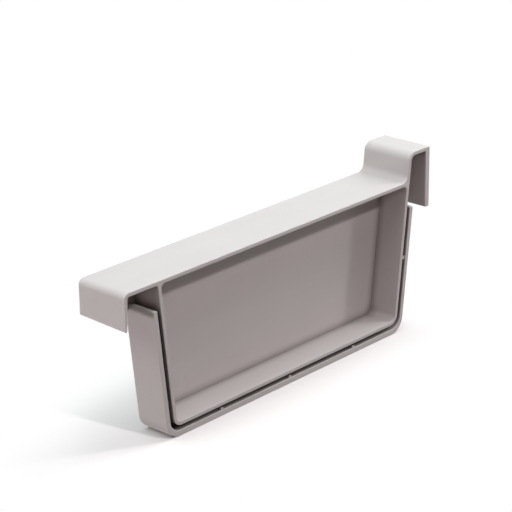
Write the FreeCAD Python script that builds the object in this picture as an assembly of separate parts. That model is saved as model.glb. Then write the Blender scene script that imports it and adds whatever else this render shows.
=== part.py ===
import FreeCAD, Part
import math
import os

# Gutter end cap, moulded in one piece, for the open end of a box gutter.
# X runs across the gutter, from the front lip to the rear hook.
# Y runs from the open side to the closed side, and Z up.
# The origin is under the middle of the cap, on the surface that it stands on.
# All sizes are in millimetres.

# Gutter that the cap fits
gutter_width = 180.0        # clear width inside the gutter at the skirt's rim
front_lean = 6.4            # lean of the gutter's front wall, in degrees
rear_lean = 7.1             # lean of the gutter's rear wall, in degrees
slot = 2.2                  # gap that takes the gutter's wall

# Walls
wall = 2.0                  # plate, lip, riser and inner frame
skirt_wall = 2.5            # sides of the skirt
skirt_floor = 3.0
lip_tip = 1.3               # lip at its end
hook_wall = 3.2             # outer leg of the hook
end_wall = 2.0

# Heights
plate_height = 80.6         # top face of the plate above the underside
skirt_height = 66.6         # skirt's rim above the underside
hook_rise = 15.0            # hook above the plate
lip_drop = 18.5             # lip's end below the plate's top face, at the open side
lip_taper = 1.1             # rise of the lip's end from the open side to the back
hook_drop = 17.4            # hook's end below the plate's top face

# Reach past the gutter's inside at the skirt's rim
lip_reach = 22.4
hook_reach = 18.0

# Depths from the open side
hood_depth = 29.5           # plate, lip and hook
body_depth = 18.5           # frame, skirt and end wall

# Bends and rounded corners
lip_bend = 1.0              # inside the lip
hook_bend = 2.6             # inside the hook, over the riser
hook_corner = 0.7           # far corner of the hook
riser_fillet = 4.5          # between plate and riser
floor_corner = 3.6          # inside the frame at its floor
skirt_corner = 6.4          # inside the skirt at its floor
roof_corner = 2.4           # inside the frame under the plate
lip_corner = 1.4            # between plate and frame in the lip's hollow
leg_round = 0.7             # free ends of the legs and the skirt
edge_round = 0.4            # edges of the open side, the closed side and the hood's back
leg_share = 0.45            # most of a wall that the rounding of its end takes
edge_share = 0.6            # most of a leg's rounding that the edges across it take

# Grip ribs in the slot
rib_width = 2.0
rib_set_back = 0.2          # behind the rounded edge of the open side
rib_shoulder = 0.4          # share of a rib's height below its round crest
floor_rib_count = 3
floor_rib_spread = 0.297    # share of the floor's width from rib to rib
floor_rib_shift = -1.0      # of the middle rib from the middle of the floor
floor_rib_fill = 0.5        # share of the slot that a floor rib takes
rear_rib_fill = 0.8         # share of the slot that the rear rib takes
rear_rib_place = 0.6        # share of the skirt's height

# Levels worked out from the sizes above
plate_under = plate_height - wall
hook_top = plate_height + hook_rise
hook_under = hook_top - wall
lip_end = plate_height - lip_drop
lip_end_back = lip_end + lip_taper
lip_foot = lip_end - wall   # before the end is trimmed
hook_end = plate_height - hook_drop
frame_bottom = skirt_floor + slot
frame_floor = frame_bottom + wall
rear_rib_level = skirt_height * rear_rib_place

# Places across and along the cap
overall_width = lip_reach + gutter_width + hook_reach
lip_outer = -overall_width / 2
lip_inner = lip_outer + wall
lip_thinning = (wall - lip_tip) / (plate_under - lip_end)
hook_outer = overall_width / 2
hook_inner = hook_outer - hook_wall
skirt_outward = slot + skirt_wall
open_side = -hood_depth / 2
hood_back = hood_depth / 2
body_back = open_side + body_depth
end_face = body_back - end_wall
tolerance = 1e-6

front_slope = math.tan(math.radians(front_lean))
rear_slope = math.tan(math.radians(rear_lean))
front_stretch = 1 / math.cos(math.radians(front_lean))
rear_stretch = 1 / math.cos(math.radians(rear_lean))


def leg_end(thickness):
    """Rounding at the free end of a leg, limited by its wall."""
    return min(leg_round, thickness * leg_share)


wall_end = leg_end(wall)
lip_leg_end = leg_end(lip_tip)
skirt_end = leg_end(skirt_wall)
hook_leg_end = leg_end(hook_wall)
soft_edge = min(edge_round, edge_share * min(lip_leg_end, skirt_end, hook_leg_end))


def front_wall(level, outward=0.0):
    """X of the gutter's front wall inside, moved outward by a thickness square to the wall."""
    at_rim = lip_outer + lip_reach
    return at_rim + (skirt_height - level) * front_slope - outward * front_stretch


def rear_wall(level, outward=0.0):
    """X of the gutter's rear wall inside, moved outward by a thickness square to the wall."""
    at_rim = hook_outer - hook_reach
    return at_rim - (skirt_height - level) * rear_slope + outward * rear_stretch


def lip_level(depth):
    """Level of the lip's end at a depth."""
    return lip_end + (depth - open_side) * lip_taper / hood_depth


def rounded_wire(corners):
    """Closed outline in the XZ plane through (x, z, radius) corners, sharp where the radius is nothing."""
    ends = []
    for index, (x, z, radius) in enumerate(corners):
        here = FreeCAD.Vector(x, 0, z)
        before = corners[index - 1]
        after = corners[(index + 1) % len(corners)]
        to_before = (FreeCAD.Vector(before[0], 0, before[1]) - here).normalize()
        to_after = (FreeCAD.Vector(after[0], 0, after[1]) - here).normalize()
        half_angle = to_before.getAngle(to_after) / 2
        run = radius / math.tan(half_angle)
        middle = here + (to_before + to_after).normalize() * (radius / math.sin(half_angle) - radius)
        ends.append((here + to_before * run, middle, here + to_after * run))
    edges = []
    for index, (start, middle, end) in enumerate(ends):
        edges.append(Part.LineSegment(ends[index - 1][2], start).toShape())
        if corners[index][2] > 0:
            edges.append(Part.Arc(start, middle, end).toShape())
    return Part.Wire(edges)


def prism(outline, front, back):
    """Solid of an outline between two depths."""
    face = Part.Face(outline)
    face.translate(FreeCAD.Vector(0, front, 0))
    return face.extrude(FreeCAD.Vector(0, back - front, 0))


def edges_at(shape, depth):
    """Edges in the plane at a depth."""
    edges = []
    for edge in shape.Edges:
        box = edge.BoundBox
        if max(abs(box.YMin - depth), abs(box.YMax - depth)) < tolerance:
            edges.append(edge)
    return edges


def top_line():
    """Corners of the outer face over the top, from the lip to the hook."""
    return [
        (lip_outer, plate_height, lip_bend + wall),
        (rear_wall(plate_height, -wall), plate_height, riser_fillet),
        (rear_wall(hook_top, -wall), hook_top, hook_bend + wall),
        (hook_outer, hook_top, hook_corner),
    ]


def hook_hollow():
    """Corners of the end of the hook's leg and of the hook's inner face, up to the riser."""
    return [
        (hook_outer, hook_end, hook_leg_end),
        (hook_inner, hook_end, hook_leg_end),
        (hook_inner, hook_under, hook_corner),
        (rear_wall(hook_under), hook_under, hook_bend),
    ]


def lip_hollow():
    """Corners of the lip's inner face, from the plate down, and of its untrimmed end."""
    return [
        (lip_inner, plate_under, lip_bend),
        (lip_inner - (plate_under - lip_foot) * lip_thinning, lip_foot, 0),
        (lip_outer, lip_foot, 0),
    ]


def hood():
    """Plate with the lip and the hook, behind the end wall."""
    riser_end = [(rear_wall(plate_under), plate_under, wall_end)]
    outline = rounded_wire(top_line() + hook_hollow() + riser_end + lip_hollow())
    return prism(outline, end_face, hood_back)


def frame():
    """Hood and four-sided inner frame in one section, in front of the end wall."""
    outer_corner = floor_corner + wall
    below = [
        (rear_wall(frame_bottom), frame_bottom, outer_corner),
        (front_wall(frame_bottom), frame_bottom, outer_corner),
        (front_wall(plate_under), plate_under, lip_corner),
    ]
    trough = [
        (front_wall(plate_under, -wall), plate_under, roof_corner),
        (rear_wall(plate_under, -wall), plate_under, roof_corner),
        (rear_wall(frame_floor, -wall), frame_floor, floor_corner),
        (front_wall(frame_floor, -wall), frame_floor, floor_corner),
    ]
    outline = rounded_wire(top_line() + hook_hollow() + below + lip_hollow())
    section = prism(outline, open_side, body_back)
    return section.cut(prism(rounded_wire(trough), open_side, body_back))


def skirt_foot():
    """Outer corners of the skirt's floor, from the rear wall to the front wall."""
    outer_corner = skirt_corner + skirt_wall
    return [
        (rear_wall(0, skirt_outward), 0, outer_corner),
        (front_wall(0, skirt_outward), 0, outer_corner),
    ]


def skirt():
    """Outer wall under and beside the gutter, open at the top."""
    front_leg = [
        (front_wall(skirt_height, skirt_outward), skirt_height, skirt_end),
        (front_wall(skirt_height, slot), skirt_height, skirt_end),
    ]
    inside = [
        (front_wall(skirt_floor, slot), skirt_floor, skirt_corner),
        (rear_wall(skirt_floor, slot), skirt_floor, skirt_corner),
    ]
    rear_leg = [
        (rear_wall(skirt_height, slot), skirt_height, skirt_end),
        (rear_wall(skirt_height, skirt_outward), skirt_height, skirt_end),
    ]
    return prism(rounded_wire(front_leg + inside + rear_leg + skirt_foot()), open_side, end_face)


def closed_end():
    """End wall over the whole section, with rounded outer edges below the lip and the hook."""
    lip_side = lip_end_back + lip_leg_end
    hook_side = hook_end + hook_leg_end
    beside_hook = [
        (hook_outer, hook_side, 0),
        (rear_wall(hook_side, skirt_outward), hook_side, skirt_end),
    ]
    beside_lip = [
        (front_wall(lip_side, skirt_outward), lip_side, skirt_end),
        (lip_outer, lip_side, 0),
    ]
    wall_plate = prism(rounded_wire(top_line() + beside_hook + skirt_foot() + beside_lip), end_face, body_back)
    top = max(lip_side, hook_side) + tolerance
    edges = [edge for edge in edges_at(wall_plate, body_back) if edge.BoundBox.ZMax < top]
    return wall_plate.makeFillet(soft_edge, edges)


def lip_trim():
    """Wedge that cuts the lip along its sloping end."""
    left = lip_outer - wall
    front = open_side - wall
    back = hood_back + wall
    corners = [
        FreeCAD.Vector(left, front, lip_foot - wall),
        FreeCAD.Vector(left, back, lip_foot - wall),
        FreeCAD.Vector(left, back, lip_level(back)),
        FreeCAD.Vector(left, front, lip_level(front)),
    ]
    side = Part.Face(Part.makePolygon(corners + corners[:1]))
    return side.extrude(FreeCAD.Vector(lip_inner + wall - left, 0, 0))


def rib(height):
    """Grip rib with a round crest, standing on the XY plane and running back to the end wall."""
    half = rib_width / 2
    foot = -skirt_wall / 2
    shoulder = height * rib_shoulder
    left_foot = FreeCAD.Vector(-half, 0, foot)
    left_shoulder = FreeCAD.Vector(-half, 0, shoulder)
    crest = FreeCAD.Vector(0, 0, height)
    right_shoulder = FreeCAD.Vector(half, 0, shoulder)
    right_foot = FreeCAD.Vector(half, 0, foot)
    outline = Part.Wire([
        Part.LineSegment(left_foot, left_shoulder).toShape(),
        Part.Arc(left_shoulder, crest, right_shoulder).toShape(),
        Part.LineSegment(right_shoulder, right_foot).toShape(),
        Part.LineSegment(right_foot, left_foot).toShape(),
    ])
    return prism(outline, open_side + soft_edge + rib_set_back, body_back)


def floor_ribs():
    """Row of ribs on the skirt's floor."""
    width = rear_wall(skirt_floor) - front_wall(skirt_floor)
    middle = (rear_wall(skirt_floor) + front_wall(skirt_floor)) / 2 + floor_rib_shift
    ribs = []
    for index in range(floor_rib_count):
        steps = index - (floor_rib_count - 1) / 2
        one = rib(slot * floor_rib_fill)
        one.translate(FreeCAD.Vector(middle + steps * width * floor_rib_spread, 0, skirt_floor))
        ribs.append(one)
    return ribs


def rear_rib():
    """Rib on the skirt's rear wall, square to that wall."""
    one = rib(slot * rear_rib_fill)
    one.rotate(FreeCAD.Vector(0, 0, 0), FreeCAD.Vector(0, 1, 0), rear_lean - 90)
    one.translate(FreeCAD.Vector(rear_wall(rear_rib_level, slot), 0, rear_rib_level))
    return one


def round_lip(shape):
    """Round the long edges of the lip's end."""
    edges = []
    for edge in shape.Edges:
        box = edge.BoundBox
        if edge.Length > body_depth and box.ZMax < lip_end_back + tolerance and box.XMax < lip_inner:
            edges.append(edge)
    return shape.makeFillet(lip_leg_end, edges)


def soften(shape):
    """Soften every edge of the open side and of the hood's back."""
    return shape.makeFillet(soft_edge, edges_at(shape, open_side) + edges_at(shape, hood_back))


def end_cap():
    """The whole cap as one solid."""
    pieces = [frame(), skirt(), closed_end(), rear_rib()] + floor_ribs()
    whole = hood().fuse(pieces).cut(lip_trim()).removeSplitter()
    return soften(round_lip(whole))


os.makedirs("parts", exist_ok=True)
end_cap().exportStep("parts/end_cap.step")
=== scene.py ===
import math

import bpy
from mathutils import Matrix, Vector


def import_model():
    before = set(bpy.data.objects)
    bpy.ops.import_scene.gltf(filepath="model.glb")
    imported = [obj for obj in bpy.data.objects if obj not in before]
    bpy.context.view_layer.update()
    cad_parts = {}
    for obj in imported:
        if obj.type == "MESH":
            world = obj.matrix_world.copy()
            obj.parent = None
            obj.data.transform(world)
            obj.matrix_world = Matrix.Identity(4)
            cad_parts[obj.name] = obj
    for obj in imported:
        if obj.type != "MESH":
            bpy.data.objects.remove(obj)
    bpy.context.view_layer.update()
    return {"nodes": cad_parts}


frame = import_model()

# Camera, solved from the straight edges of the photograph
IMAGE_SIDE = 512  # pixels
FOCAL_PIXELS = 2023.36
SENSOR = 36.0  # millimetres
CAMERA_PLACE = Vector((-0.68372, -0.61257, 0.41064))
CAMERA_AZIMUTH = math.radians(-47.834)
CAMERA_ELEVATION = math.radians(20.715)
CAMERA_ROLL = math.radians(-0.666)

# Lamps, in degrees, metres and watts: azimuth 0 lies before the open side, positive towards the hook
MIDDLE = Vector((0.0, 0.0, 0.045))  # the point that they all face
LAMPS = {
    "key": dict(azimuth=0, elevation=42.5, distance=1.5, width=0.08, height=0.08, power=6.45, red=1.03),
    "side_key": dict(azimuth=57, elevation=26.5, distance=1.5, width=0.13, height=0.13, power=3.94,
                     red=1.03),
    "fill": dict(azimuth=-52, elevation=20, distance=1.5, width=0.5, height=0.5, power=1.15, red=1.3),
    "strip": dict(azimuth=-105, elevation=-1.5, distance=0.6, width=0.5, height=0.06, power=1.02, red=1.08),
    "back": dict(azimuth=-125, elevation=65, distance=1.3, width=1.8, height=1.8, power=20.8, red=0.89),
    "right": dict(azimuth=75, elevation=52, distance=1, width=0.6, height=0.6, power=6.4, red=0.92),
}

# Plastic
PVC_COLOUR = (0.551, 0.502, 0.498)
PVC_ROUGHNESS = 0.46
PVC_IOR = 1.54

# Shade painted into the colour in narrow hollows: darker and browner where walls close by hide the view
HOLLOW_REACH = 0.006  # metres over which walls shade each other
HOLLOW_OPEN = 0.90  # open share of the view from which a face keeps its full colour
PAINTED_HOLLOW_SHADE = (0.10, 0.055, 0.045)  # share of each colour left in the deepest hollow

# Noises of the plastic: features per metre, layers of detail and stretch along the axes
EVEN = (1, 1, 1)
ALONG = (0.12, 1, 1)  # drawn out along the plate
PATCHES = dict(stretch=EVEN, scale=22, detail=3)
FLOW = dict(stretch=ALONG, scale=90, detail=4)
GRAIN = dict(stretch=EVEN, scale=1500, detail=2)
SCUFFS = dict(stretch=EVEN, scale=420, detail=6)
NOISE_ROUGHNESS = 0.55
NOISE_SPAN = (0.3, 0.7)  # part of a noise's range that is put to use
PATCH_TONE = 0.025  # change of the colour either way
FLOW_TONE = 0.015
PATCH_GLOSS = 0.03  # change of the roughness either way
FLOW_BUMP = dict(Strength=0.05, Distance=0.0004)
GRAIN_BUMP = dict(Strength=0.06, Distance=0.0001)

# Rubbed edges
EDGE_REACH = 0.0007  # metres of wear on each side of an edge
EDGE_OPEN = 0.5  # open share of the inward view at a full edge
SCUFF_SPAN = (0.35, 0.65)  # part of the scuffs' range that is put to use
SCUFF_LEAST = 0.3  # share of the wear left between the scuffs
WEAR_TONE = 1.06  # colour of a rubbed edge as a share of the plain one
WEAR_GLOSS = 0.06  # roughness added on a rubbed edge

# Floor
FLOOR_WHITE = (0.915, 0.85, 0.853)  # as the camera sees it
FLOOR_BOUNCE = (0.128, 0.114, 0.109)  # as it lights the cap
FLOOR_SIDE = 8.0  # metres
FLOOR_PATCH = (0.15, 0.06)  # half sides in metres of the lit floor round the cap
FLOOR_FADE = (0.7, 1.2)  # shares of it over which the floor turns into plain white


def material(name):
    """New node material with an empty tree."""
    made = bpy.data.materials.new(name)
    made.use_nodes = True
    made.node_tree.nodes.clear()
    return made, made.node_tree.nodes, made.node_tree.links


def node(nodes, kind, **values):
    """Shader node with its inputs set by name, with underscores for spaces."""
    made = nodes.new("ShaderNode" + kind)
    for name, value in values.items():
        made.inputs[name.replace("_", " ")].default_value = value
    return made


def noise(nodes, links, place, stretch, scale, detail):
    """Noise with features of 1 / scale metres, stretched along the axes."""
    mapping = node(nodes, "Mapping", Scale=stretch)
    made = node(nodes, "TexNoise", Scale=scale, Detail=detail, Roughness=NOISE_ROUGHNESS)
    links.new(place.outputs["Object"], mapping.inputs["Vector"])
    links.new(mapping.outputs["Vector"], made.inputs["Vector"])
    return made.outputs["Fac"]


def spread(nodes, links, value, span, to_low, to_high):
    """Value moved from a span to another range."""
    low, high = span
    made = node(nodes, "MapRange", From_Min=low, From_Max=high, To_Min=to_low, To_Max=to_high)
    links.new(value, made.inputs["Value"])
    return made.outputs["Result"]


def either_way(nodes, links, value, middle, change):
    """Noise turned into a value that lies round a middle."""
    return spread(nodes, links, value, NOISE_SPAN, middle - change, middle + change)


def maths(nodes, links, operation, first, second):
    """Result of two values."""
    made = nodes.new("ShaderNodeMath")
    made.operation = operation
    links.new(first, made.inputs[0])
    links.new(second, made.inputs[1])
    return made.outputs["Value"]


def mixed(nodes, links, share, first, second):
    """Shader that goes from the first to the second as the share goes from 0 to 1."""
    made = nodes.new("ShaderNodeMixShader")
    links.new(share, made.inputs["Fac"])
    links.new(first, made.inputs[1])
    links.new(second, made.inputs[2])
    return made.outputs["Shader"]


def painted_hollow_shade(nodes, links):
    """Painted shade: share of each colour left by walls close by, low and brownish in the slot, full on
    open faces.
    """
    shade = node(nodes, "AmbientOcclusion", Distance=HOLLOW_REACH)
    shade.only_local = True
    ramp = nodes.new("ShaderNodeValToRGB")
    deep, clear = ramp.color_ramp.elements
    deep.color = (*PAINTED_HOLLOW_SHADE, 1.0)
    clear.position = HOLLOW_OPEN
    links.new(shade.outputs["AO"], ramp.inputs["Fac"])
    return ramp.outputs["Color"]


def edges(nodes, links):
    """One along the outer edges, nothing on flat faces."""
    thin = node(nodes, "AmbientOcclusion", Distance=EDGE_REACH)
    thin.inside = True
    thin.only_local = True
    return spread(nodes, links, thin.outputs["AO"], (EDGE_OPEN, 1.0), 1.0, 0.0)


def plastic_colour(nodes, links, patches, flow, wear):
    """Grey that varies with patches and flow marks, paler on rubbed edges, with shade painted darker and
    browner in hollows.
    """
    tone = maths(nodes, links, "MULTIPLY", either_way(nodes, links, patches, 1.0, PATCH_TONE),
                 either_way(nodes, links, flow, 1.0, FLOW_TONE))
    tone = maths(nodes, links, "MULTIPLY", tone, spread(nodes, links, wear, (0.0, 1.0), 1.0, WEAR_TONE))
    colour = nodes.new("ShaderNodeVectorMath")
    colour.operation = "SCALE"
    colour.inputs[0].default_value = PVC_COLOUR
    links.new(tone, colour.inputs["Scale"])
    # painted shade: the colour is darkened and browned in hollows
    shaded = nodes.new("ShaderNodeVectorMath")
    shaded.operation = "MULTIPLY"
    links.new(colour.outputs["Vector"], shaded.inputs[0])
    links.new(painted_hollow_shade(nodes, links), shaded.inputs[1])
    return shaded.outputs["Vector"]


def plastic_bump(nodes, links, flow, grain):
    """Normal with soft ripples of the flow and fine grain on top."""
    ripple = node(nodes, "Bump", **FLOW_BUMP)
    links.new(flow, ripple.inputs["Height"])
    made = node(nodes, "Bump", **GRAIN_BUMP)
    links.new(grain, made.inputs["Height"])
    links.new(ripple.outputs["Normal"], made.inputs["Normal"])
    return made.outputs["Normal"]


def pvc():
    """Light grey moulded plastic: satin, with faint flow marks, fine grain and rubbed edges."""
    made, nodes, links = material("grey_pvc_moulded")
    place = nodes.new("ShaderNodeTexCoord")
    patches = noise(nodes, links, place, **PATCHES)
    flow = noise(nodes, links, place, **FLOW)
    grain = noise(nodes, links, place, **GRAIN)
    scuffs = noise(nodes, links, place, **SCUFFS)

    rubbed = spread(nodes, links, scuffs, SCUFF_SPAN, SCUFF_LEAST, 1.0)
    wear = maths(nodes, links, "MULTIPLY", edges(nodes, links), rubbed)
    gloss = maths(nodes, links, "ADD", spread(nodes, links, wear, (0.0, 1.0), 0.0, WEAR_GLOSS),
                  either_way(nodes, links, patches, PVC_ROUGHNESS, PATCH_GLOSS))

    shader = node(nodes, "BsdfPrincipled", IOR=PVC_IOR)
    out = nodes.new("ShaderNodeOutputMaterial")
    links.new(plastic_colour(nodes, links, patches, flow, wear), shader.inputs["Base Color"])
    links.new(gloss, shader.inputs["Roughness"])
    links.new(plastic_bump(nodes, links, flow, grain), shader.inputs["Normal"])
    links.new(shader.outputs["BSDF"], out.inputs["Surface"])
    return made


def distance_share(nodes, links):
    """Nothing on the lit floor round the cap, one further out."""
    place = nodes.new("ShaderNodeTexCoord")
    patch = node(nodes, "Mapping", Scale=(1 / FLOOR_PATCH[0], 1 / FLOOR_PATCH[1], 1.0))
    distance = nodes.new("ShaderNodeVectorMath")
    distance.operation = "LENGTH"
    fade = node(nodes, "MapRange", From_Min=FLOOR_FADE[0], From_Max=FLOOR_FADE[1])
    fade.interpolation_type = "SMOOTHSTEP"
    links.new(place.outputs["Object"], patch.inputs["Vector"])
    links.new(patch.outputs["Vector"], distance.inputs[0])
    links.new(distance.outputs["Value"], fade.inputs["Value"])
    return fade.outputs["Result"]


def floor_paper():
    """White paper that keeps the shadow round the cap, plain white further out and in reflections."""
    made, nodes, links = material("white_paper")
    path = nodes.new("ShaderNodeLightPath")
    white = nodes.new("ShaderNodeEmission").outputs["Emission"]
    paper = node(nodes, "BsdfDiffuse", Color=(*FLOOR_WHITE, 1.0)).outputs["BSDF"]
    bounce = node(nodes, "BsdfDiffuse", Color=(*FLOOR_BOUNCE, 1.0)).outputs["BSDF"]
    seen = mixed(nodes, links, distance_share(nodes, links), paper, white)
    lit = mixed(nodes, links, path.outputs["Is Camera Ray"], bounce, seen)
    mirrored = mixed(nodes, links, path.outputs["Is Glossy Ray"], lit, white)
    out = nodes.new("ShaderNodeOutputMaterial")
    links.new(mirrored, out.inputs["Surface"])
    return made


def floor():
    """Large plain floor under the cap."""
    half = FLOOR_SIDE / 2
    mesh = bpy.data.meshes.new("floor")
    corners = [(-half, -half, 0), (half, -half, 0), (half, half, 0), (-half, half, 0)]
    mesh.from_pydata(corners, [], [(0, 1, 2, 3)])
    mesh.materials.append(floor_paper())
    made = bpy.data.objects.new("floor", mesh)
    bpy.context.scene.collection.objects.link(made)


def towards(azimuth, elevation):
    """Direction from the cap at an azimuth and elevation in degrees."""
    a = math.radians(azimuth)
    e = math.radians(elevation)
    return Vector((math.sin(a) * math.cos(e), -math.cos(a) * math.cos(e), math.sin(e)))


def lamp(name, azimuth, elevation, distance, width, height, power, red):
    """Softbox that faces the cap, warmer with a higher share of red, and not seen in reflections."""
    light = bpy.data.lights.new(name, "AREA")
    light.shape = "RECTANGLE"
    light.size = width
    light.size_y = height
    light.energy = power
    light.color = (red, 1.0, 1.0)
    made = bpy.data.objects.new(name, light)
    direction = towards(azimuth, elevation)
    made.location = MIDDLE + direction * distance
    made.rotation_euler = direction.to_track_quat("Z", "Y").to_euler()
    made.visible_glossy = False
    bpy.context.scene.collection.objects.link(made)


def world():
    """White where the camera or a reflection sees it, dark for the rest: the lamps give the light."""
    made = bpy.data.worlds.new("studio")
    made.use_nodes = True
    nodes, links = made.node_tree.nodes, made.node_tree.links
    nodes.clear()
    path = nodes.new("ShaderNodeLightPath")
    white = node(nodes, "Background", Color=(1.0, 1.0, 1.0, 1.0))
    out = nodes.new("ShaderNodeOutputWorld")
    seen = maths(nodes, links, "MAXIMUM", path.outputs["Is Camera Ray"], path.outputs["Is Glossy Ray"])
    links.new(seen, white.inputs["Strength"])
    links.new(white.outputs["Background"], out.inputs["Surface"])
    bpy.context.scene.world = made


def camera():
    """Camera at the photograph's place and angle."""
    a, e, r = CAMERA_AZIMUTH, CAMERA_ELEVATION, CAMERA_ROLL
    forward = Vector((-math.sin(a) * math.cos(e), math.cos(a) * math.cos(e), -math.sin(e)))
    level = Vector((math.cos(a), math.sin(a), 0.0))
    upright = level.cross(forward)
    right = level * math.cos(r) + upright * math.sin(r)
    up = upright * math.cos(r) - level * math.sin(r)
    lens = bpy.data.cameras.new("camera")
    lens.sensor_width = SENSOR
    lens.lens = SENSOR * FOCAL_PIXELS / IMAGE_SIDE
    made = bpy.data.objects.new("camera", lens)
    turn = Matrix((right, up, -forward)).transposed()
    made.matrix_world = Matrix.Translation(CAMERA_PLACE) @ turn.to_4x4()
    bpy.context.scene.collection.objects.link(made)
    bpy.context.scene.camera = made


cap = frame["nodes"]["end_cap"]
cap.data.materials[0] = pvc()
floor()
for name, values in LAMPS.items():
    lamp(name, **values)
world()
camera()
bpy.context.scene.view_settings.view_transform = "Standard"
